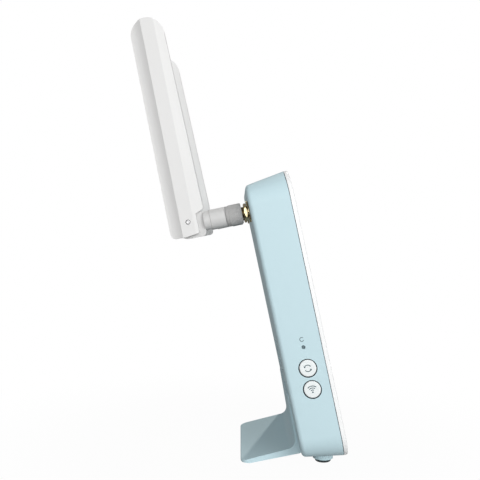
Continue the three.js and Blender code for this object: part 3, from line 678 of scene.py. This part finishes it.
class WIRELESS_OT_jacks(bpy.types.Operator):
    """Cut threads on the gold jacks and finish their nuts and washers"""
    bl_idname = "wireless.jacks"
    bl_label = "Antenna jacks"

    def execute(self, context):
        for side in SIDES:
            self.threaded_jack(side)
            self.hex_nut(side)
            self.lock_washer(side)
            refine(f"{side}_contact", "gold plate", bevel=0.08)
        return {"FINISHED"}

    def hex_nut(self, side):
        """A six-sided nut with a flat towards the side, its corners turned off at both ends."""
        node = f"{side}_jack_nut"
        low, high = span(node, BACK)
        flat = half_size(node, ACROSS)
        corner = flat / math.cos(math.pi / 6)
        bore, chamfer, slope, shoulder = 3.4, 0.3, 0.22, 0.5
        thick = high - low

        def six_sided(limit):
            def radius(angle):
                off = (angle + math.pi / 6) % (math.pi / 3) - math.pi / 6
                return min(flat / math.cos(off), limit)
            return radius

        end = (
            (bore, chamfer), (bore + chamfer, 0), (six_sided(flat), 0),
            (six_sided((flat + corner) / 2), slope), (six_sided(corner), shoulder))
        profile = end + tuple((radius, thick - height) for radius, height in reversed(end))
        shape = bmesh.new()
        skin(shape, turned(profile, 72))
        self.fit(side, shape, "hex_nut", low, 20, node)

    def lock_washer(self, side):
        """A thin ring with twisted teeth round its outside."""
        node = f"{side}_jack_washer"
        low, high = span(node, BACK)
        tip = half_size(node, ACROSS)
        bore, root, gullet, teeth, tooth_share = 3.45, 4.5, 4.75, 18, 0.6
        count = teeth * 8
        thick = high - low
        sheet, twist = thick / 2, thick / 4

        def phase(angle):
            return angle * teeth / (2 * math.pi) % 1.0

        def toothed(angle):
            return tip if abs(phase(angle) - 0.5) < tooth_share / 2 else gullet

        rings = []
        for radius, share, face in ((bore, 0, -1), (root, 0, -1), (toothed, 1, -1),
                                    (toothed, 1, 1), (root, 0, 1), (bore, 0, 1)):
            ring = ring_of(radius, thick / 2 + face * sheet / 2, count)
            for i, point in enumerate(ring):
                turn = 2 * math.pi * phase(2 * math.pi * i / count)
                point.z += share * twist * math.sin(turn) * MM
            rings.append(ring)
        shape = bmesh.new()
        skin(shape, rings)
        self.fit(side, shape, "lock_washer", low, 25, node)

    def threaded_jack(self, side):
        """A bulkhead jack with a helical thread, a flange behind the wall and a crimp sleeve."""
        node = f"{side}_jack"
        low, high = span(node, BACK)
        flange = half_size(node, ACROSS)
        count, pitch, depth, thread = 48, 0.706, 0.3, 3.3
        crimp, neck, flange_from, flange_to = 2.0, 3.0, 4.0, 6.0
        bore, bore_depth, pin = 2.2, 5.0, 0.3
        length = high - low
        thread_from, thread_length = flange_to + 0.02, length - 0.5 - flange_to

        def threaded(height):
            def radius(angle):
                phase = (height / pitch + angle / (2 * math.pi)) % 1.0
                return thread - depth * abs(2 * phase - 1) ** 0.7
            return radius

        rings = turned((
            (pin, 0), (crimp - 0.1, 0), (crimp, 0.1), (crimp, flange_from),
            (flange - 0.2, flange_from), (flange, flange_from + 0.2), (flange, flange_to - 0.1),
            (flange - 0.1, flange_to), (neck, flange_to)), count)
        steps = int(thread_length / (pitch / 8))
        for step in range(steps + 1):
            height = thread_from + thread_length * step / steps
            rings.append(ring_of(threaded(height), height, count))
        rings += turned((
            (2.85, length), (bore + 0.1, length), (bore, length - 0.1),
            (bore, length - bore_depth), (pin, length - bore_depth)), count)
        shape = bmesh.new()
        capped(shape, rings)
        self.fit(side, shape, "threaded_jack", low, 40, node)

    def fit(self, side, shape, name, low, smooth_below, node):
        """Stands a gold part on its jack's axis, from a distance in millimetres, for a CAD node."""
        stand_at(shape, along_jack(side, low * MM), BACK, ACROSS)
        made = piece(f"{side}_{name}", shape, "case", "gold plate", smooth_below)
        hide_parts(node)


class WIRELESS_OT_coupling_nuts(bpy.types.Operator):
    """Cut slanting knurling, crossed by fainter cuts, on the coupling nuts"""
    bl_idname = "wireless.coupling_nuts"
    bl_label = "Coupling nuts"

    def execute(self, context):
        look = context.scene.wireless_look
        for side in SIDES:
            self.nut(side, look.knurl_count, look.knurl_depth / MM)
        return {"FINISHED"}

    def nut(self, side, ridges, depth):
        """One nut: bore, chamfered knurled band, and a plain collar at the antenna's side."""
        node = f"{side}_coupling_nut"
        low, high = span(node, BACK)
        outer = half_size(node, ACROSS)
        bore, mouth, collar, wall, overlap = 3.5, 2.9, 5.18, 1.1, 0.2
        start, end, chamfer, steps = 0.15, high - low - 1.5, 0.3, 44
        length = high - low + overlap
        count = ridges * 8
        pitch = 2 * math.pi * outer / ridges

        def knurled(height):
            drop = max(0.0, chamfer - (height - start), chamfer - (end - height))

            def radius(angle):
                around, along = angle * ridges / (2 * math.pi), height / pitch
                faint = abs(((around + along) % 1.0) * 2 - 1) / 2
                strong = abs(((around - along) % 1.0) * 2 - 1)
                return min(outer - depth * max(faint, strong) ** 1.5, outer - drop)
            return radius

        rings = turned((
            (bore, length - wall), (bore, 0.2), (bore + 0.2, 0), (outer - 0.55, 0)), count)
        for step in range(steps + 1):
            height = start + (end - start) * step / steps
            rings.append(ring_of(knurled(height), height, count))
        rings += turned((
            (collar, end + 0.1), (collar, length - 0.1), (collar - 0.1, length), (mouth, length),
            (mouth, length - wall)), count)
        shape = bmesh.new()
        skin(shape, rings)
        stand_at(shape, along_jack(side, low * MM), BACK, ACROSS)
        made = piece(f"{side}_knurled_nut", shape, f"{side}_nut", "knurled grey", 50)
        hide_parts(node)


# ---------------------------------------------------------------- antennas

class WIRELESS_OT_antennas(bpy.types.Operator):
    """Finish the blades, the elbows, the hinge pins and the radiator boards"""
    bl_idname = "wireless.antennas"
    bl_label = "Antennas"

    def execute(self, context):
        soft = context.scene.wireless_look.edge_softness / MM
        for side in SIDES:
            refine(f"{side}_blade", "antenna white", angle=14, bevel=soft * 2.6, segments=4)
            refine(f"{side}_swivel", "elbow grey", bevel=soft * 0.7)
            refine(f"{side}_radiator", "solder mask", bevel=0.05)
            self.pin(side)
        return {"FINISHED"}

    def pin(self, side):
        """A rolled hinge pin with a dimple in each low-domed end."""
        node = f"{side}_hinge_pin"
        radius, half = half_size(node, UP), half_size(node, ACROSS)
        end = (
            (0.05, -0.22), (0.35, -0.2), (0.5, -0.04), (0.62, 0), (radius - 0.25, -0.06),
            (radius, -0.32))
        profile = [(r, -half - z) for r, z in end] + [(r, half + z) for r, z in reversed(end)]
        shape = bmesh.new()
        capped(shape, turned(profile, 36))
        centre = sum((way * middle(node, way) for way in (ACROSS, BACK, UP)), Vector())
        stand_at(shape, centre, ACROSS, UP)
        made = piece(f"{side}_pin", shape, f"{side}_antenna", "satin steel")
        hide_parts(node)


# ---------------------------------------------------------------- sockets and inside

class WIRELESS_OT_sockets(bpy.types.Operator):
    """Finish the network sockets and the power inlet, and fit their contacts"""
    bl_idname = "wireless.sockets"
    bl_label = "Sockets"

    def execute(self, context):
        for number in (1, 2):
            node = f"ethernet_socket_{number}"
            refine(node, "black moulding", bevel=0.12)
            self.contacts(number, node)
        refine("power_inlet", "black moulding", bevel=0.12)
        return {"FINISHED"}

    def contacts(self, number, node):
        """Eight sprung wires that slope down from the roof of a socket towards its back."""
        start = (
            ACROSS * middle(node, ACROSS) + BACK * reach(node, BACK)[1] + UP * middle(node, UP))
        half, pitch, wires = 0.17, 1.02, 8
        corners = ((-half, -half), (half, -half), (half, half), (-half, half))
        bend = ((-1.2, 3.4), (-2.2, 3.05), (-8.5, 0.85), (-10.6, 0.55))
        shape = bmesh.new()
        for wire in range(wires):
            x = (wire - (wires - 1) / 2) * pitch
            capped(shape, [[
                start + ACROSS * (x + dx) * MM + BACK * y * MM + UP * (z + dz) * MM
                for dx, dz in corners] for y, z in bend])
        piece(f"ethernet_contacts_{number}", shape, "case", "gold plate")


class WIRELESS_OT_inside(bpy.types.Operator):
    """Finish what the case holds: boards, cans, heat spreader, switches and leads"""
    bl_idname = "wireless.inside"
    bl_label = "Inside"

    def execute(self, context):
        inside = {
            "solder mask": ("main_board", "button_board"),
            "tinned sheet": ("shield_can_1", "shield_can_2"),
            "extruded aluminium": ("heat_spreader",),
            "gap silicone": ("thermal_pad",),
            "shrink sleeve": ("capacitor_1", "capacitor_2"),
            "black moulding": ("pair_switch", "wireless_switch", "reset_switch"),
            "lead jacket": ("left_pigtail", "right_pigtail"),
        }
        for finish, nodes in inside.items():
            for node in nodes:
                refine(node, finish, bevel=0 if "pigtail" in node else 0.1)
        return {"FINISHED"}


# ---------------------------------------------------------------- stage

def lamp(name, kind, place, target, **settings):
    """A light at a place, aimed at a target."""
    data = bpy.data.lights.new(name, kind)
    for key, value in settings.items():
        setattr(data, key, value)
    made = bpy.data.objects.new(name, data)
    made.location = place
    made.rotation_euler = (Vector(target) - Vector(place)).to_track_quat("-Z", "Y").to_euler()
    bpy.context.scene.collection.objects.link(made)
    return made


class WIRELESS_OT_stage(bpy.types.Operator):
    """Lay the floor, light the object softly and set the camera"""
    bl_idname = "wireless.stage"
    bl_label = "Stage"

    def execute(self, context):
        look = context.scene.wireless_stage
        self.floor()
        self.surroundings(look.ambient)
        middle_height = (0, 0, 0.12)
        front_left, behind_eye = (-2.2, -1.15, 1.1), (-1.7, 0.05, 0.3)
        far_above = (0.95, -0.14, 1.0)
        lamp("Key", "AREA", front_left, middle_height,
             energy=look.key_power, shape="DISK", size=1.5)
        lamp("Fill light", "AREA", behind_eye, middle_height,
             energy=look.fill_power, shape="DISK", size=1.0)
        lamp("Far light", "SUN", far_above, (0, 0, 0),
             energy=look.sun_strength, angle=math.radians(1.5), color=(1.0, 0.93, 0.88))
        self.camera(look)
        context.scene.view_settings.view_transform = "Standard"
        return {"FINISHED"}

    def floor(self):
        """A pale floor that fades to white away from the object."""
        shape = bmesh.new()
        bmesh.ops.create_circle(shape, cap_ends=True, segments=96, radius=6.0)
        data = bpy.data.meshes.new("floor")
        shape.to_mesh(data)
        shape.free()
        made = bpy.data.objects.new("floor", data)
        bpy.context.scene.collection.objects.link(made)
        material, shader = blank_material("pale floor")
        tree = material.node_tree
        shader.inputs["Base Color"].default_value = (0.44, 0.44, 0.44, 1)
        shader.inputs["Roughness"].default_value = 0.9
        white = tree.nodes.new("ShaderNodeEmission")
        path = tree.nodes.new("ShaderNodeLightPath")
        place = tree.nodes.new("ShaderNodeTexCoord")
        away = tree.nodes.new("ShaderNodeVectorMath")
        away.operation = "LENGTH"
        tree.links.new(place.outputs["Object"], away.inputs[0])
        fade = tree.nodes.new("ShaderNodeMapRange")
        fade.interpolation_type = "SMOOTHSTEP"
        fade_from, fade_to, lowest_share = 0.05, 0.22, 0.97
        for label, value in (
                ("From Min", fade_from), ("From Max", fade_to), ("To Min", lowest_share),
                ("To Max", 1.0)):
            fade.inputs[label].default_value = value
        tree.links.new(away.outputs["Value"], fade.inputs["Value"])
        blend = tree.nodes.new("ShaderNodeMixShader")
        share = math_node(tree, "MULTIPLY", fade.outputs["Result"], path.outputs["Is Camera Ray"])
        tree.links.new(share, blend.inputs["Fac"])
        tree.links.new(shader.outputs["BSDF"], blend.inputs[1])
        tree.links.new(white.outputs["Emission"], blend.inputs[2])
        output = next(n for n in tree.nodes if n.type == "OUTPUT_MATERIAL")
        tree.links.new(blend.outputs["Shader"], output.inputs["Surface"])
        made.data.materials.append(material)

    def surroundings(self, ambient):
        """White to look at, and a soft grey light from all round."""
        world = bpy.data.worlds.new("surroundings")
        world.use_nodes = True
        tree = world.node_tree
        background = next(n for n in tree.nodes if n.type == "BACKGROUND")
        background.inputs["Color"].default_value = (1, 1, 1, 1)
        path = tree.nodes.new("ShaderNodeLightPath")
        strength = math_node(
            tree, "MULTIPLY_ADD", path.outputs["Is Camera Ray"], 1.0 - ambient, ambient)
        tree.links.new(strength, background.inputs["Strength"])
        bpy.context.scene.world = world

    def camera(self, look):
        """Square on to the control side, just below the antennas' hinges."""
        data = bpy.data.cameras.new("camera")
        data.sensor_width = 36.0
        data.lens = look.focal_length
        data.shift_y = look.lens_rise
        data.clip_start = 0.01
        made = bpy.data.objects.new("camera", data)
        made.location = (-look.view_distance, -0.85 * MM, look.eye_height)
        made.rotation_euler = (math.radians(90), 0, math.radians(-90))
        bpy.context.scene.collection.objects.link(made)
        bpy.context.scene.camera = made


# ---------------------------------------------------------------- panel and running

OPERATORS = (
    WIRELESS_OT_stage, WIRELESS_OT_case, WIRELESS_OT_feet, WIRELESS_OT_keys, WIRELESS_OT_jacks,
    WIRELESS_OT_coupling_nuts, WIRELESS_OT_antennas, WIRELESS_OT_sockets, WIRELESS_OT_inside,
)


class VIEW3D_PT_wireless(bpy.types.Panel):
    """Lists the steps that dress the wireless unit"""
    bl_label = "Wireless unit"
    bl_space_type = "VIEW_3D"
    bl_region_type = "UI"
    bl_category = "Wireless"

    def draw(self, context):
        for group in (context.scene.wireless_look, context.scene.wireless_stage):
            for name in group.bl_rna.properties.keys():
                if name not in ("rna_type", "name"):
                    self.layout.prop(group, name)
        for operator in OPERATORS:
            self.layout.operator(operator.bl_idname)


CLASSES = (WirelessLook, WirelessStage, *OPERATORS, VIEW3D_PT_wireless)


def register():
    """Adds the classes and the settings they read."""
    for cls in CLASSES:
        bpy.utils.register_class(cls)
    bpy.types.Scene.wireless_look = bpy.props.PointerProperty(type=WirelessLook)
    bpy.types.Scene.wireless_stage = bpy.props.PointerProperty(type=WirelessStage)


def unregister():
    """Takes away what register added."""
    del bpy.types.Scene.wireless_stage
    del bpy.types.Scene.wireless_look
    for cls in reversed(CLASSES):
        bpy.utils.unregister_class(cls)


def main():
    register()
    for operator in OPERATORS:
        family, step = operator.bl_idname.split(".")
        getattr(getattr(bpy.ops, family), step)()


if __name__ == "__main__":
    main()
